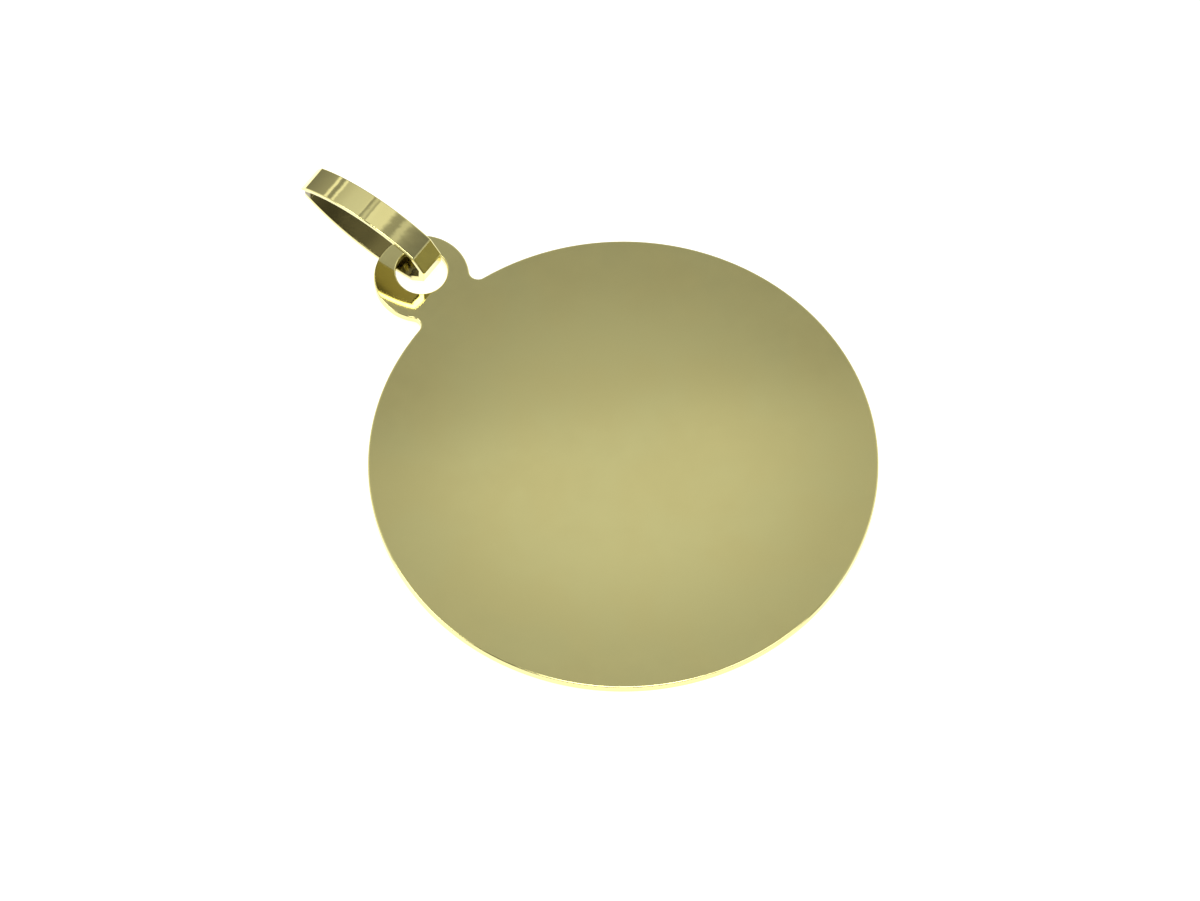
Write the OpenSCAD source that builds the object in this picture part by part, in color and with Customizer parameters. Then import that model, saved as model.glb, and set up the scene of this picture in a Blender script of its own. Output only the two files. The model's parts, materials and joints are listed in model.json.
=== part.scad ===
// Disc pendant with a strip bail, lying on its back.
// The disc is one flat blank whose ear is cut out with it. The bail is a strip bent into a long
// closed loop that runs loose through the ear's hole and lifts the ear a little off the surface.
// Millimetres, +Z up, ear end towards +Y, origin on the surface below the middle of the pendant.

/* [Disc] */
// Diameter of the disc
disc_d = 18; // [14:0.5:26]
// Thickness of the blank, the same in the disc and the ear
disc_t = 0.32; // [0.24:0.02:0.5]

/* [Ear] */
// Outer diameter of the ear
ear_d = 3.38; // [3.22:0.04:4.4]
// Depth that the ear's circle dips into the disc's circle
ear_dip = 0.31; // [0.15:0.02:0.6]
// Radius of the hollow corner on each side of the neck
neck_r = 0.32; // [0.2:0.02:0.6]
// Diameter of the ear's hole
hole_d = 1.84; // [1.7:0.02:2.1]
// Offset of the hole from the ear's middle, away from the disc
hole_out = 0.18; // [0:0.02:0.24]
// Offset of the hole from the ear's middle, towards +X
hole_side = 0.16; // [-0.2:0.02:0.2]

/* [Bail strip] */
// Width of the strip
strip_w = 1.04; // [0.8:0.02:1.2]
// Thickness of the strip
strip_t = 0.25; // [0.18:0.01:0.32]

/* [Bail loop] */
// Length of the loop outside, from its ear end to its chain end
loop_l = 5.3; // [4.8:0.02:8]
// Height of the loop outside at its chain end
chain_end_h = 0.76; // [0.56:0.02:1]
// Distance from the ear end to the loop's highest place
bulge_at = 2.25; // [1.8:0.05:2.5]
// Slope of the two facets between the flat face at the ear end and the arms
ear_end_slope = 58; // [52:1:64]
// Length of the lip where the front arm's cut end stands past the back arm
lip_l = 0.2; // [0.1:0.02:0.3]
// Drop of the lip's cut face
lip_drop = 0.5; // [0.3:0.02:0.54]

/* [Bail clearances] */
// Gap that the arms keep from the ear's ring all through the swing
arm_gap = 0.05; // [0.03:0.01:0.2]
// Gap that the ear end and its facets keep from the ring all through the swing
toe_gap = 0.05; // [0.03:0.01:0.2]
// Height of the swing axis above the middle of the blank
axis_lift = 0.86; // [0.6:0.02:1]

/* [Bail pose] */
// Sideways place of the bail in the hole, from the hole's middle towards +X
bail_side = 0.23; // [-0.3:0.01:0.28]
// Turn of the bail from +Y, towards -X
bail_turn = 10.2; // [-12:0.1:12]
// Rise of the bail's long axis from the blank
bail_rise = 7.3; // [2:0.1:9]
// Sideways lean of the loop, its top towards -X, while the strip stays level across its width
bail_lean = 8.5; // [0:0.5:10]

/* [Hidden] */
$fn = 96;
eps = 0.01; // overshoot of cuts, and what keeps the lip's corner off the loop's edge
neck_bite = 0.002; // depth that a neck corner's circle cuts into the circles it touches
arc_fn = 360; // sides of the arms' arcs
arm_steps = 60; // places along the back arm that the search for its lowest one tries
lying_rounds = 6; // rounds of the search for the tilt

disc_r = disc_d / 2;
ear_r = ear_d / 2;
hole_r = hole_d / 2;
ear_mid = [0, disc_r + ear_r - ear_dip];
hole_mid = ear_mid + [hole_side, hole_out];

// Centre of a neck corner's circle, which touches the disc's and the ear's circles
neck_a = disc_r + neck_r;
neck_b = ear_r + neck_r;
neck_turn = acos((pow(ear_mid.y, 2) + pow(neck_a, 2) - pow(neck_b, 2)) / (2 * ear_mid.y * neck_a));
neck_mid = neck_a * [sin(neck_turn), cos(neck_turn)];

// Flat directions along the bail (u) and across it (s)
bail_u = [-sin(bail_turn), cos(bail_turn)];
bail_s = [cos(bail_turn), sin(bail_turn)];

// Unit vectors of the bail in the blank's frame: along it, across it and through it
bail_x = [bail_u.x * cos(bail_rise), bail_u.y * cos(bail_rise), sin(bail_rise)];
bail_y = [bail_s.x, bail_s.y, 0];
bail_z = [-bail_u.x * sin(bail_rise), -bail_u.y * sin(bail_rise), cos(bail_rise)];

// Lines along the strip where it meets the height of the blank's two faces, as [s, height] from the
// hole's middle. share runs from -1 at one edge of the strip to 1 at the other
lean = tan(bail_lean); // sideways shift of the strip for each millimetre through the loop
height_lean = lean / cos(bail_rise); // the same for each millimetre of height
ring_lines = [for (share = [-1:0.25:1], z = [0, disc_t])
    [bail_side + share * strip_w / 2 - (z - disc_t / 2) * height_lean, z]];

// Ring of the ear on such a line, from the hole's edge to the ear's outer edge
ear_from_hole = -[hole_side, hole_out];
function hole_u(s) = sqrt(pow(hole_r, 2) - pow(s, 2));
function ear_u(s) = ear_from_hole * bail_u + sqrt(pow(ear_r, 2) - pow(s - ear_from_hole * bail_s, 2));
ring_in = min([for (line = ring_lines) hole_u(line[0])]);
ring_out = max([for (line = ring_lines) ear_u(line[0])]);

// Swing axis: the ring never reaches further from it than ring_reach
axis_mid = concat(
    hole_mid + bail_u * (ring_in + ring_out) / 2 + bail_s * (bail_side - axis_lift * height_lean),
    disc_t / 2 + axis_lift);
ring_corners = [for (line = ring_lines, u = [hole_u(line[0]), ear_u(line[0])])
    concat(hole_mid + bail_u * u + bail_s * line[0], line[1]) - axis_mid];
ring_reach = max([for (corner = ring_corners) norm([corner * bail_x, corner * bail_z])]);

// Ear end: its face and its facets lie round the ring's reach
axis_l = strip_t + ring_reach + toe_gap;
ear_end_h = 2 * axis_l * (1 - sin(ear_end_slope)) / cos(ear_end_slope);

// Arms: arcs that are highest at bulge_at, end at the chain end and go round the ring's reach.
// Together these conditions make their radius arm_flat + arm_share * arm_drop, and the depth of
// their centres, arm_drop, the root of a quadratic equation
end_h = chain_end_h / 2;
arm_clear = strip_t + ring_reach + arm_gap;
end_run = loop_l - bulge_at;
ring_run = bulge_at - axis_l;
arm_share = end_h / arm_clear;
arm_flat = (pow(end_run, 2) - pow(ring_run, 2) + pow(end_h, 2) + pow(arm_clear, 2)) / (2 * arm_clear);
root_a = 1 - pow(arm_share, 2);
root_b = arm_share * (arm_flat - arm_clear);
root_c = pow(ring_run, 2) - pow(arm_flat - arm_clear, 2);
arm_drop = (root_b + sqrt(pow(root_b, 2) - root_a * root_c)) / root_a;
arm_r = arm_flat + arm_share * arm_drop;
lip_back = strip_t / 4;
loop_h = 2 * (arm_r - arm_drop);
uncut_w = strip_w + loop_h * lean + 2 * eps; // width of the loop before its leaning sides are cut

// Place in the blank's frame of a point of the loop: along from the ear end, through and across
function bail_point(along, through, across) =
    axis_mid + bail_x * (along - axis_l) + bail_z * through + bail_y * (across - through * lean);

// Underside of the back arm, on both edges of the strip
function arm_h(along) = sqrt(pow(arm_r, 2) - pow(along - bulge_at, 2)) - arm_drop;
function facet_h(along) = ear_end_h / 2 + along * tan(ear_end_slope);
arm_under = [for (k = [0:arm_steps], side = [-1, 1])
    let (along = loop_l * k / arm_steps)
    bail_point(along, -min(arm_h(along), facet_h(along)), side * strip_w / 2)];

// Tilt at which the disc's rim and the bail both touch the surface
function height(point, tilt) = point.y * sin(tilt) + point.z * cos(tilt);
function lowest(points, tilt) =
    let (heights = [for (p = points) height(p, tilt)])
    points[search(min(heights), heights)[0]];
function lying(tilt, rounds) =
    rounds < 1 ? tilt
    : let (foot = lowest(arm_under, tilt)) lying(atan2(-foot.z, foot.y + disc_r), rounds - 1);
tilt = lying(0, lying_rounds);

// Middle of the whole length, from the disc's far rim to the end of the bail's lip
lip_ends = [
    [loop_l, end_h],
    [loop_l + lip_l, end_h - lip_drop]
];
end_corners = [for (side = [-1, 1], end = lip_ends) bail_point(end[0], end[1], side * strip_w / 2)];
far_y = max([for (p = end_corners) p.y * cos(tilt) - p.z * sin(tilt)]);
near_y = -disc_r * cos(tilt) - disc_t * sin(tilt);
mid_y = (far_y + near_y) / 2;

// Lays the blank's frame down on the surface
module lay_down() {
    translate([0, -mid_y, disc_r * sin(tilt)])
        rotate([tilt, 0, 0])
            children();
}

// Outline of the blank: disc, ear and hollow corners at the neck
module blank_outline() {
    difference() {
        union() {
            circle(disc_r);
            translate(ear_mid) circle(ear_r);
            polygon([[0, 0], neck_mid, ear_mid, [-neck_mid.x, neck_mid.y]]);
        }
        for (side = [-1, 1])
            translate([side * neck_mid.x, neck_mid.y]) circle(neck_r + neck_bite);
    }
}

module disc() {
    color("#c3b878")
        lay_down()
            difference() {
                linear_extrude(disc_t) blank_outline();
                translate([hole_mid.x, hole_mid.y, -eps])
                    cylinder(r = hole_r, h = disc_t + 2 * eps);
            }
}

// Side view of the loop, drawn smaller by inset all round
module loop_outline(inset) {
    facet = tan(ear_end_slope);
    toe = ear_end_h / 2 + inset * facet - inset / cos(ear_end_slope);
    heel = toe + (loop_l - 2 * inset) * facet;
    intersection() {
        polygon([[inset, -toe], [loop_l - inset, -heel], [loop_l - inset, heel], [inset, toe]]);
        translate([bulge_at, -arm_drop]) circle(arm_r - inset, $fn = arc_fn);
        translate([bulge_at, arm_drop]) circle(arm_r - inset, $fn = arc_fn);
    }
}

// Cut end of the front arm, a wedge that stands past the back arm
module lip_outline() {
    polygon([
        [loop_l - strip_t, end_h],
        [loop_l, end_h - eps],
        [loop_l + lip_l, end_h - lip_drop],
        [loop_l - lip_back, end_h - strip_t]
    ]);
}

// Draws a side view out to a width, evenly to both sides
module across(width) {
    translate([0, 0, -width / 2])
        linear_extrude(width)
            children();
}

// Loop before its sides are cut, wider than the strip
module uncut_loop() {
    rotate([90, 0, 0])
        difference() {
            union() {
                across(uncut_w) loop_outline(0);
                across(uncut_w) lip_outline();
            }
            across(uncut_w + 2 * eps) loop_outline(strip_t);
        }
}

// Slab between the two sides of the strip, which leans as the loop does
module strip_slab() {
    slab_w = strip_w * cos(bail_lean);
    rotate([-bail_lean, 0, 0])
        translate([-eps, -slab_w / 2, -loop_h])
            cube([loop_l + lip_l + 2 * eps, slab_w, 2 * loop_h]);
}

module bail() {
    color("#cfc07a")
        lay_down()
            translate(axis_mid)
                rotate([0, 0, 90 + bail_turn])
                    rotate([0, -bail_rise, 0])
                        translate([-axis_l, 0, 0])
                            intersection() {
                                uncut_loop();
                                strip_slab();
                            }
}

disc();
bail();
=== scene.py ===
"""Disc pendant of polished yellow gold: a disc with its ear in one sheet, and a loose strip bail."""

import json
import math

import bpy
from mathutils import Matrix, Vector


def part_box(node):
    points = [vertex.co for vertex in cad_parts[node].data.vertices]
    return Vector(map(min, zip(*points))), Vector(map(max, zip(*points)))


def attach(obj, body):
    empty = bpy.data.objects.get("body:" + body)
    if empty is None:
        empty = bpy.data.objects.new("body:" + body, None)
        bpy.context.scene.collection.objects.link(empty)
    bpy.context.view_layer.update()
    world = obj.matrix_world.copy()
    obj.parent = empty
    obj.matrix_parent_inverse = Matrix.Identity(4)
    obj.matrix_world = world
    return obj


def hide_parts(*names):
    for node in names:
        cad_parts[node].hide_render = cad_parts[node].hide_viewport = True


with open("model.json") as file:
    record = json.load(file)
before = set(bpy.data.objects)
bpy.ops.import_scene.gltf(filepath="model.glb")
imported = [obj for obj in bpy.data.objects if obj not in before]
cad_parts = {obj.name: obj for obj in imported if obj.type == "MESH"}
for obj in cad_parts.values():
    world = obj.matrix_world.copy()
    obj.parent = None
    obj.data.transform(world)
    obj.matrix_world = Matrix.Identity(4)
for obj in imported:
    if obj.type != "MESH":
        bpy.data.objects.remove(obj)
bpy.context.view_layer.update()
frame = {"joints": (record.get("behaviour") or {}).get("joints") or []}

MM = 0.001  # one millimetre in metres

# Blank, in millimetres: the disc's middle is the origin and the ear lies towards +Y
disc_r = 9.0
disc_t = 0.32
ear_r = 1.69
ear_dip = 0.31
neck_r = 0.32
hole_r = 0.92
hole_at = Vector((0.16, 10.56, 0))
ear_at = Vector((0, disc_r + ear_r - ear_dip, 0))

# Bail, in millimetres: its own x runs along the loop towards the chain end, and z goes through it
strip_w = 1.04
strip_t = 0.25
loop_l = 5.3
loop_h = 3.103
chain_end_h = 0.76
bulge_at = 2.25
ear_end_h = 0.829
ear_end_slope = math.radians(58)
lip_l = 0.2
lip_drop = 0.5
lip_back = 0.0625
swing_from_end = 1.446  # the bail's own origin is the swing axis, this far from its ear end
bail_turn = math.radians(10.2)
bail_rise = math.radians(7.3)
bail_lean = math.tan(math.radians(8.5))  # sideways shift for each millimetre through the loop

# Steps of each arc
disc_steps = 400
ear_steps = 120
neck_steps = 16
hole_steps = 128
arm_steps = 64

# Polishing rounds every edge a little
edge_round = 0.045
round_steps = 6
disc_border = 2 * edge_round
bail_border = 1.5 * edge_round
disc_sharp = math.radians(60)  # edges that are sharper than this are rounded
bail_sharp = math.radians(25)
same_point = 0.0005
same_height = 0.0001

# Where the pendant lies, read from the frame
disc_low, disc_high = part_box("disc")
tilt = math.asin((disc_high.z / MM - disc_t) / (2 * disc_r + 2 * ear_r - ear_dip))
rim_y = disc_low.y / MM + disc_t * math.sin(tilt)
lying = Matrix.Rotation(tilt, 4, "X")
blank_place = Matrix.Translation((0, rim_y + disc_r * math.cos(tilt), disc_r * math.sin(tilt))) @ lying
swing = next(joint for joint in frame["joints"] if joint["name"] == "bail_swing")
bail_place = (
    Matrix.Translation(Vector(swing["pos_m"]) / MM)
    @ lying
    @ Matrix.Rotation(math.radians(90) + bail_turn, 4, "Z")
    @ Matrix.Rotation(-bail_rise, 4, "Y")
)
leaning = Matrix.Shear("XY", 3, (0, bail_lean)).to_4x4()

# Arms of the loop: arcs round centres that lie arm_drop beyond its middle
arm_sag = (loop_h - chain_end_h) / 2
arm_r = ((loop_l - bulge_at) ** 2 + arm_sag**2) / (2 * arm_sag)
arm_drop = arm_r - loop_h / 2

# Viewing angle of the photograph: turned from the ear, and above the disc
view_turn = math.radians(-43.33)
view_rise = math.radians(61)
view_distance = 1200
photo_w = 1200
photo_h = 901
photo_scale = 28.37  # pixels per millimetre
disc_px = (623.2, 463.5)  # middle of the disc's face in the photograph
to_camera = lying @ Vector((
    math.sin(view_turn) * math.cos(view_rise),
    -math.cos(view_turn) * math.cos(view_rise),
    math.sin(view_rise),
))
to_right = lying @ Vector((math.cos(view_turn), math.sin(view_turn), 0))
to_top = to_camera.cross(to_right)


# Modelling helpers

def begin(name):
    """A new empty mesh at the origin, open in edit mode."""
    bpy.ops.object.select_all(action="DESELECT")
    bpy.ops.mesh.primitive_plane_add(location=(0, 0, 0))
    piece = bpy.context.active_object
    piece.name = name
    piece.data.name = name
    bpy.ops.object.mode_set(mode="EDIT")
    bpy.ops.mesh.select_mode(type="VERT")
    bpy.ops.mesh.delete(type="VERT")
    return piece


class Pen:
    """Draws an outline with one vertex that is pulled along lines and spun along arcs."""

    def __init__(self, start, normal):
        self.normal = Vector(normal)
        self.start = Vector(start)
        self.at = self.start
        bpy.ops.mesh.select_all(action="DESELECT")
        bpy.ops.mesh.primitive_plane_add(size=0.1, location=self.start)
        bpy.ops.mesh.merge(type="CENTER")

    def line(self, to):
        to = Vector(to)
        bpy.ops.mesh.extrude_vertices_move(TRANSFORM_OT_translate={"value": to - self.at})
        self.at = to

    def arc(self, centre, to, steps, way=1):
        """way is 1 for counterclockwise and -1 for clockwise, seen from the normal's tip."""
        before = self.at - centre
        after = Vector(to) - centre
        angle = math.atan2(self.normal.cross(before).dot(after), before.dot(after))
        angle = way * (way * angle % math.tau)
        # Spin turns clockwise about its axis
        bpy.ops.mesh.spin(steps=steps, dupli=False, angle=-angle, center=centre, axis=self.normal)
        self.at = Vector(to)

    def close(self):
        self.line(self.start)


def plate(thickness, border):
    """Fills the outlines that are drawn, lays a border along them and pulls the plate thick."""
    bpy.ops.mesh.select_all(action="SELECT")
    bpy.ops.mesh.remove_doubles(threshold=same_point)
    bpy.ops.mesh.fill()
    bpy.ops.mesh.select_mode(type="FACE")
    bpy.ops.mesh.inset(thickness=border)
    bpy.ops.mesh.select_all(action="SELECT")
    bpy.ops.mesh.extrude_region_move(TRANSFORM_OT_translate={"value": thickness})
    bpy.ops.mesh.select_all(action="SELECT")
    bpy.ops.mesh.normals_make_consistent(inside=False)


def round_edges(sharpest):
    """Rounds every edge that is sharper than an angle."""
    bpy.ops.mesh.select_mode(type="EDGE")
    bpy.ops.mesh.select_all(action="DESELECT")
    bpy.ops.mesh.edges_select_sharp(sharpness=sharpest)
    bpy.ops.mesh.bevel(offset=edge_round, segments=round_steps, profile=0.5, clamp_overlap=False)


def fill_again(piece, normal, heights):
    """Fills the flat faces at some heights anew, because rounding moved the corners of triangles."""
    for height in heights:
        bpy.ops.mesh.select_mode(type="FACE")
        bpy.ops.mesh.select_all(action="DESELECT")
        bpy.ops.object.mode_set(mode="OBJECT")
        for face in piece.data.polygons:
            face.select = abs(face.center.dot(normal) - height) < same_height
        bpy.ops.object.mode_set(mode="EDIT")
        bpy.ops.mesh.delete(type="FACE")
        bpy.ops.mesh.select_mode(type="EDGE")
        bpy.ops.mesh.select_non_manifold()
        bpy.ops.mesh.fill()
    bpy.ops.mesh.select_all(action="SELECT")
    bpy.ops.mesh.normals_make_consistent(inside=False)


def finish(piece, place, lean=Matrix.Identity(4)):
    """Leans the piece, shades it smooth but for its flat faces, and puts it in place, in metres."""
    bpy.ops.object.mode_set(mode="OBJECT")
    piece.data.transform(lean)
    bpy.ops.object.shade_smooth()
    weigh = piece.modifiers.new("weigh", "WEIGHTED_NORMAL")
    weigh.weight = 100
    weigh.thresh = 0.0001
    bpy.ops.object.modifier_apply(modifier=weigh.name)
    piece.matrix_world = Matrix.Scale(MM, 4) @ place
    bpy.ops.object.transform_apply(location=True, rotation=True, scale=True)


# Disc: a round blank with its ear, cut out of one sheet

def make_disc():
    reach = disc_r + neck_r
    arm = ear_r + neck_r
    turn = math.acos((ear_at.y**2 + reach**2 - arm**2) / (2 * ear_at.y * reach))
    neck = [Vector((side * reach * math.sin(turn), reach * math.cos(turn), 0)) for side in (1, -1)]
    on_disc = [at * (disc_r / reach) for at in neck]
    on_ear = [ear_at + (at - ear_at) * (ear_r / arm) for at in neck]
    piece = begin("pendant_disc")
    pen = Pen(on_disc[0], (0, 0, 1))
    pen.arc(Vector(), on_disc[1], disc_steps, way=-1)
    pen.arc(neck[1], on_ear[1], neck_steps)
    pen.arc(ear_at, on_ear[0], ear_steps, way=-1)
    pen.arc(neck[0], on_disc[0], neck_steps)
    bpy.ops.mesh.primitive_circle_add(vertices=hole_steps, radius=hole_r, location=hole_at)
    plate((0, 0, disc_t), disc_border)
    round_edges(disc_sharp)
    fill_again(piece, Vector((0, 0, 1)), (0, disc_t))
    finish(piece, blank_place)
    return piece


# Bail: a strip bent into a long loop, with a blunt ear end and its cut end as a lip

def make_bail():
    slope = math.tan(ear_end_slope)
    side_y = -strip_w / 2

    def at(along, through):
        """A point of the side view, along from the ear end."""
        return Vector((along - swing_from_end, side_y, through))

    def arm_h(along, inset):
        """Height of the front arm's outer or inner face."""
        return math.sqrt((arm_r - inset) ** 2 - (along - bulge_at) ** 2) - arm_drop

    def toe_h(inset):
        """Height at which the flat face of the ear end meets its facet."""
        return ear_end_h / 2 + inset * slope - inset / math.cos(ear_end_slope)

    def crease_at(inset):
        """Where the facet meets its arm."""
        rise = toe_h(inset) - slope * inset + arm_drop
        b = slope * rise - bulge_at
        c = bulge_at**2 + rise**2 - (arm_r - inset) ** 2
        return (math.sqrt(b**2 - (1 + slope**2) * c) - b) / (1 + slope**2)

    def draw(inset, chain_end):
        """One outline of the loop, outer or inner, with the points of its chain end."""
        crease = crease_at(inset)
        pen = Pen(at(inset, toe_h(inset)), (0, -1, 0))
        pen.line(at(crease, arm_h(crease, inset)))
        pen.arc(at(bulge_at, -arm_drop), at(*chain_end[0]), arm_steps, way=-1)
        for point in chain_end[1:]:
            pen.line(at(*point))
        pen.arc(at(bulge_at, arm_drop), at(crease, -arm_h(crease, inset)), arm_steps, way=-1)
        pen.line(at(inset, -toe_h(inset)))
        pen.close()

    end_h = chain_end_h / 2
    lip_end = end_h - lip_drop
    lip_slope = (end_h - strip_t - lip_end) / (lip_l + lip_back)
    inner_end = loop_l - strip_t
    piece = begin("strip_bail")
    draw(0, [
        (loop_l, end_h),
        (loop_l + lip_l, lip_end),
        (loop_l, lip_end + lip_l * lip_slope),
        (loop_l, -end_h),
    ])
    draw(strip_t, [
        (inner_end, arm_h(inner_end, strip_t)),
        (inner_end, -arm_h(inner_end, strip_t)),
    ])
    plate((0, strip_w, 0), bail_border)
    round_edges(bail_sharp)
    fill_again(piece, Vector((0, 1, 0)), (-strip_w / 2, strip_w / 2))
    finish(piece, bail_place, leaning)
    return piece


# Shader maths

class Value:
    """A socket of a node tree. Arithmetic on it adds Math nodes."""

    def __init__(self, tree, socket):
        self.tree = tree
        self.socket = socket

    @classmethod
    def add(cls, tree, kind, settings=None, inputs=None, output=0):
        """Adds a node: its settings first, then the values or links of its sockets."""
        node = tree.nodes.new(kind)
        for name, setting in (settings or {}).items():
            if name == "stops":
                elements = node.color_ramp.elements
                for stop, (place, colour) in enumerate(setting):
                    element = elements[stop] if stop < len(elements) else elements.new(place)
                    element.position = place
                    element.color = (*colour, 1)
            else:
                setattr(node, name, setting)
        for name, value in (inputs or {}).items():
            if isinstance(value, Value):
                tree.links.new(value.socket, node.inputs[name])
            else:
                node.inputs[name].default_value = value
        return cls(tree, node.outputs[output]) if node.outputs else None

    def math(self, operation, first, second):
        return Value.add(self.tree, "ShaderNodeMath", {"operation": operation}, {0: first, 1: second})

    def __add__(self, other):
        return self.math("ADD", self, other)

    def __radd__(self, other):
        return self.math("ADD", other, self)

    def __sub__(self, other):
        return self.math("SUBTRACT", self, other)

    def __rsub__(self, other):
        return self.math("SUBTRACT", other, self)

    def __mul__(self, other):
        return self.math("MULTIPLY", self, other)

    def __rmul__(self, other):
        return self.math("MULTIPLY", other, self)

    def __truediv__(self, other):
        return self.math("DIVIDE", self, other)

    def __rtruediv__(self, other):
        return self.math("DIVIDE", other, self)

    def __pow__(self, other):
        return self.math("POWER", self, other)

    def __rpow__(self, other):
        return self.math("POWER", other, self)

    def step(self, start, end):
        """Rises smoothly from 0 at start to 1 at end."""
        inputs = {"Value": self, "From Min": start, "From Max": end}
        settings = {"interpolation_type": "SMOOTHSTEP"}
        return Value.add(self.tree, "ShaderNodeMapRange", settings, inputs)

    def dot(self, direction):
        settings = {"operation": "DOT_PRODUCT"}
        inputs = {0: self, 1: tuple(direction)}
        return Value.add(self.tree, "ShaderNodeVectorMath", settings, inputs, output=1)


def new_tree(owner):
    owner.use_nodes = True
    owner.node_tree.nodes.clear()
    return owner.node_tree


# Materials. Patterns are counted for each millimetre of the piece's own frame

cloud_scale = 0.35
grain_scale = 1.4
grain_rough = 0.03
hairline_scale = 26.0
hairline_stretch = (0.05, 1.0, 1.0)
hairline_rough = 0.015
hairline_height = 3e-9  # metres
painted_shade_gold = (0.2, 0.17, 0.06)  # painted shade: dark gold on the loop's inner sides, standing in for the dark inside of the loop
dull_rough = 0.12
arms_start = (-0.95, -0.85)  # the bail's own x where its arms begin inside
inner_face = (0.01, 0.04)  # the painted shade fades out this far past the arms' inner faces


def inside_loop(x, z):
    """1 on the inner sides of the bail's two arms, where the shade is painted."""
    inner_r = arm_r - strip_t
    height = (z * z) ** 0.5
    from_centre = ((x - (bulge_at - swing_from_end)) ** 2 + (height + arm_drop) ** 2) ** 0.5
    return x.step(*arms_start) * (1 - from_centre.step(inner_r + inner_face[0], inner_r + inner_face[1]))


def polished_gold(name, pale, deep, place, bow, ripple, ripple_mm, roughness, painted_shade_side=None):
    """Polished gold. bow is the radius of its slight bow and ripple the height of its waves, in metres."""
    material = bpy.data.materials.new(name)
    tree = new_tree(material)
    objects = Value.add(tree, "ShaderNodeTexCoord", output=3)
    metres = Matrix.Scale(MM, 4) @ place
    own = Value.add(tree, "ShaderNodeMapping", {"vector_type": "TEXTURE"}, {
        "Vector": objects,
        "Location": metres.to_translation(),
        "Rotation": metres.to_euler(),
        "Scale": (MM, MM, MM),
    })
    x, y, z = (
        Value.add(tree, "ShaderNodeSeparateXYZ", None, {"Vector": own}, output=axis)
        for axis in range(3)
    )

    def noise(scale, detail=2.0, vector=own):
        inputs = {"Vector": vector, "Scale": scale, "Detail": detail}
        return Value.add(tree, "ShaderNodeTexNoise", None, inputs)

    # Long hairlines that the polishing wheel left, along the piece's own x
    drawn_out = Value.add(tree, "ShaderNodeMapping", None, {"Vector": own, "Scale": hairline_stretch})
    hairline = noise(hairline_scale, 3.0, drawn_out)
    cloud = noise(cloud_scale)

    tone = Value.add(tree, "ShaderNodeMix", {"data_type": "RGBA"}, {
        "Factor": cloud.step(0.35, 0.65),
        "A": (*pale, 1),
        "B": (*deep, 1),
    }, output=2)
    rough = roughness + grain_rough * noise(grain_scale, 4.0) + hairline_rough * hairline
    # The loop's inner sides are painted darker as painted shade, and made a little rougher
    if painted_shade_side:
        painted_shade = painted_shade_side(x, z)
        tone = Value.add(tree, "ShaderNodeMix", {"data_type": "RGBA"}, {
            "Factor": painted_shade,
            "A": tone,
            "B": (*painted_shade_gold, 1),
        }, output=2)
        rough = rough + dull_rough * painted_shade
    height = (x * x + y * y) * (-0.5 * MM**2 / bow)
    height = height + noise(1 / ripple_mm) * ripple + hairline * hairline_height
    normal = Value.add(tree, "ShaderNodeBump", None, {"Height": height, "Strength": 1.0, "Distance": 1.0})
    shine = Value.add(tree, "ShaderNodeBsdfPrincipled", None, {
        "Base Color": tone,
        "Metallic": 1.0,
        "Roughness": rough,
        "Normal": normal,
    })
    Value.add(tree, "ShaderNodeOutputMaterial", None, {"Surface": shine})
    return material


def dress(piece, material, body, node):
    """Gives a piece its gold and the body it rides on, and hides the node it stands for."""
    piece.data.materials.clear()
    piece.data.materials.append(material)
    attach(piece, body)
    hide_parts(node)


# Studio. Directions count as sines of the angle from the middle of the disc's mirrored view

# Panel that the disc's face mirrors: brighter below a soft slanting line, darker towards its edge
face_reach = 0.04
face_light = 0.46
face_glow = 0.155
face_fade = 0.34
line_slope = 0.17
line_up = 0.22 * face_reach
line_soft = 0.11 * face_reach

# Panels behind the pendant, which the bail's front arm mirrors: height and brightness
panels = (
    (-0.4, 0.15),
    (-0.345, 0.25),
    (-0.315, 0.34),
    (-0.3, 0.6),
    (-0.275, 0.6),
    (-0.262, 0.3),
    (-0.21, 0.34),
    (-0.18, 0.8),
    (-0.1, 0.78),
    (0.02, 0.85),
    (0.06, 0.66),
    (0.23, 0.62),
    (0.365, 0.5),
    (0.378, 0.95),
    (0.395, 0.95),
    (0.41, 0.28),
    (0.455, 0.28),
    (0.468, 1),
    (0.488, 1),
    (0.505, 0.34),
    (0.75, 0.2),
)

# Soft lights: degrees round from the camera's side to the right, degrees up, and watts
lamps = (
    ("top_light", 0, 78, 1.5),
    ("left_light", -80, 45, 1),
    ("right_light", 60, 60, 1),
)
lamp_size = 0.25
lamp_distance = 0.6


def make_floor():
    """A light table: it glows evenly, so the pendant throws next to no shadow."""
    bpy.ops.object.select_all(action="DESELECT")
    bpy.ops.mesh.primitive_plane_add(size=3, location=(0, 0, 0))
    floor = bpy.context.active_object
    floor.name = "white_table"
    material = bpy.data.materials.new("white_table")
    tree = new_tree(material)
    paint = Value.add(tree, "ShaderNodeBsdfPrincipled", None, {
        "Base Color": (0.4, 0.4, 0.4, 1),
        "Roughness": 0.9,
        "Specular IOR Level": 0.2,
        "Emission Color": (1, 1, 1, 1),
        "Emission Strength": 0.8,
    })
    Value.add(tree, "ShaderNodeOutputMaterial", None, {"Surface": paint})
    floor.data.materials.append(material)


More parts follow.
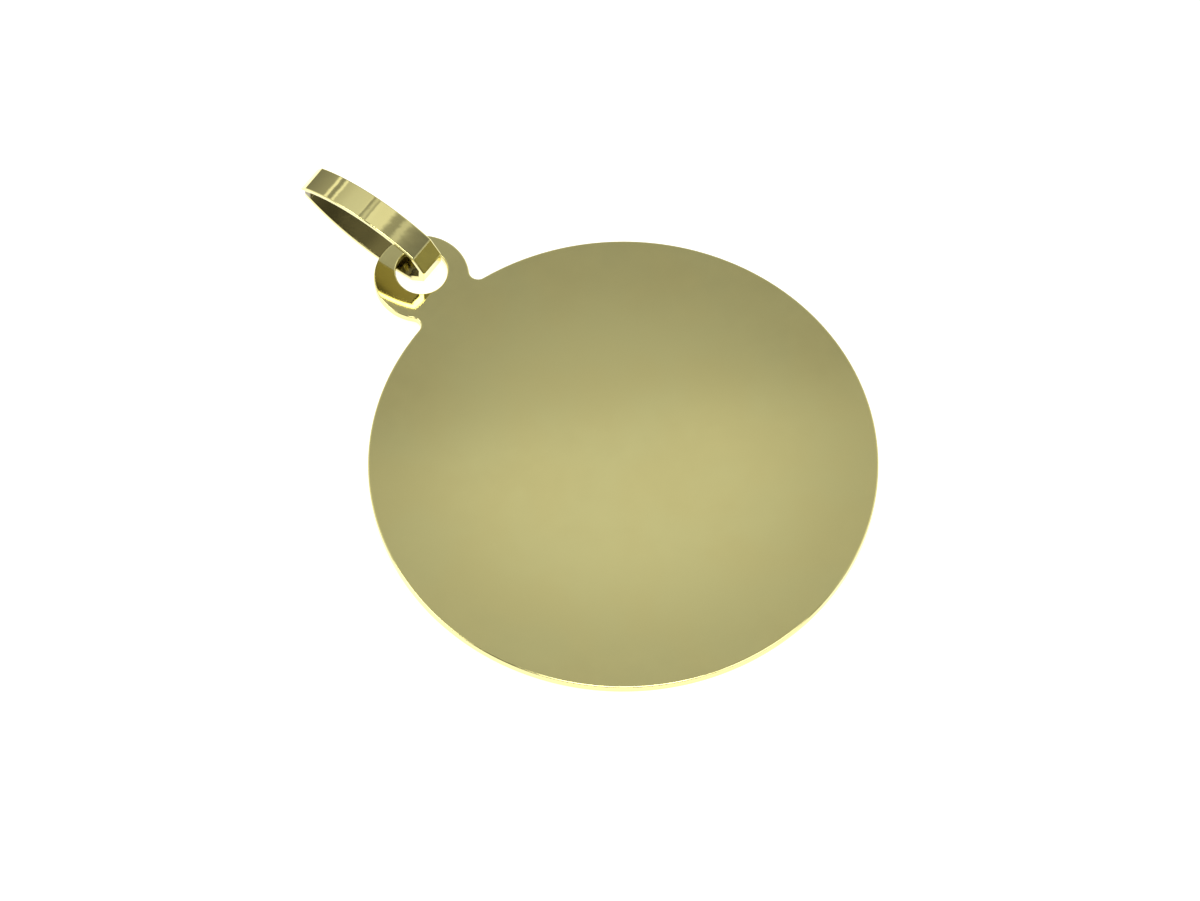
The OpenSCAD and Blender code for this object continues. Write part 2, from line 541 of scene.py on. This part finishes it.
def make_world():
    """A dim studio with panels behind the pendant, and the panel that the disc's face mirrors."""
    world = bpy.data.worlds.new("studio")
    bpy.context.scene.world = world
    tree = new_tree(world)
    direction = Value.add(tree, "ShaderNodeTexCoord")
    up = lying @ Vector((0, 0, 1))
    mirrored = 2 * to_camera.dot(up) * up - to_camera
    mirrored_top = to_top - 2 * to_top.dot(up) * up
    across = direction.dot(to_right)
    above = direction.dot(mirrored_top)
    facing = direction.dot(mirrored)
    leftward = direction.dot(-to_right)
    room = 0.2 + 0.35 * leftward.step(0, 1)

    line = above - line_slope * across - line_up
    radial = (across * across + above * above) ** 0.5 / face_reach
    face = face_light + face_glow * (1 - line.step(-line_soft, line_soft))
    face = face * (1 - face_fade * radial.step(0.35, 1.1))

    stops = [((place + 1) / 2, (light, light, light)) for place, light in panels]
    behind = Value.add(tree, "ShaderNodeValToRGB", {"stops": stops}, {"Fac": 0.5 * above + 0.5})
    near = 1 - radial.step(1.3, 1.7)
    ahead = facing.step(0.0, 0.05)
    light = behind * (1 - near) + face * near
    light = room * (1 - ahead) + light * ahead
    sky = Value.add(tree, "ShaderNodeBackground", None, {"Color": (1, 1, 1, 1), "Strength": light})
    Value.add(tree, "ShaderNodeOutputWorld", None, {"Surface": sky})


def make_lamp(name, azimuth, elevation, power):
    """A square soft light that looks at the pendant."""
    bpy.ops.object.select_all(action="DESELECT")
    azimuth = math.radians(azimuth)
    elevation = math.radians(elevation)
    ahead = Vector((to_camera.x, to_camera.y, 0)).normalized()
    right = Vector((to_right.x, to_right.y, 0)).normalized()
    level = ahead * math.cos(azimuth) + right * math.sin(azimuth)
    way = level * math.cos(elevation) + Vector((0, 0, math.sin(elevation)))
    bpy.ops.object.light_add(type="AREA", location=way * lamp_distance)
    lamp = bpy.context.active_object
    lamp.name = name
    lamp.data.size = lamp_size
    lamp.data.energy = power
    lamp.rotation_euler = way.to_track_quat("Z", "Y").to_euler()


def make_camera():
    """A long lens from the photograph's angle, framed so that the disc lies where it does there."""
    face = blank_place @ Vector((0, 0, disc_t))
    left = (disc_px[0] - photo_w / 2) / photo_scale
    up = (disc_px[1] - photo_h / 2) / photo_scale
    target = face - to_right * left + to_top * up
    place = Matrix((to_right, to_top, to_camera)).transposed().to_4x4()
    place.translation = (target + to_camera * view_distance) * MM
    bpy.ops.object.select_all(action="DESELECT")
    bpy.ops.object.camera_add()
    camera = bpy.context.active_object
    camera.matrix_world = place
    camera.data.sensor_width = 36
    camera.data.lens = camera.data.sensor_width * view_distance * photo_scale / photo_w
    camera.data.clip_start = 0.01
    camera.data.clip_end = 10
    bpy.context.scene.camera = camera


make_camera()
make_floor()
make_world()
for lamp in lamps:
    make_lamp(*lamp)
bpy.context.scene.view_settings.view_transform = "Standard"

disc_gold = polished_gold(
    "disc_gold",
    pale=(0.92, 0.85, 0.37),
    deep=(0.92, 0.835, 0.355),
    place=blank_place,
    bow=0.515,
    ripple=1e-7,
    ripple_mm=3,
    roughness=0.04,
)
bail_gold = polished_gold(
    "bail_gold",
    pale=(0.93, 0.86, 0.38),
    deep=(0.92, 0.83, 0.35),
    place=bail_place,
    bow=10,
    ripple=2e-6,
    ripple_mm=0.5,
    roughness=0.03,
    painted_shade_side=inside_loop,
)
dress(make_disc(), disc_gold, "disc", "disc")
dress(make_bail(), bail_gold, "bail", "bail")
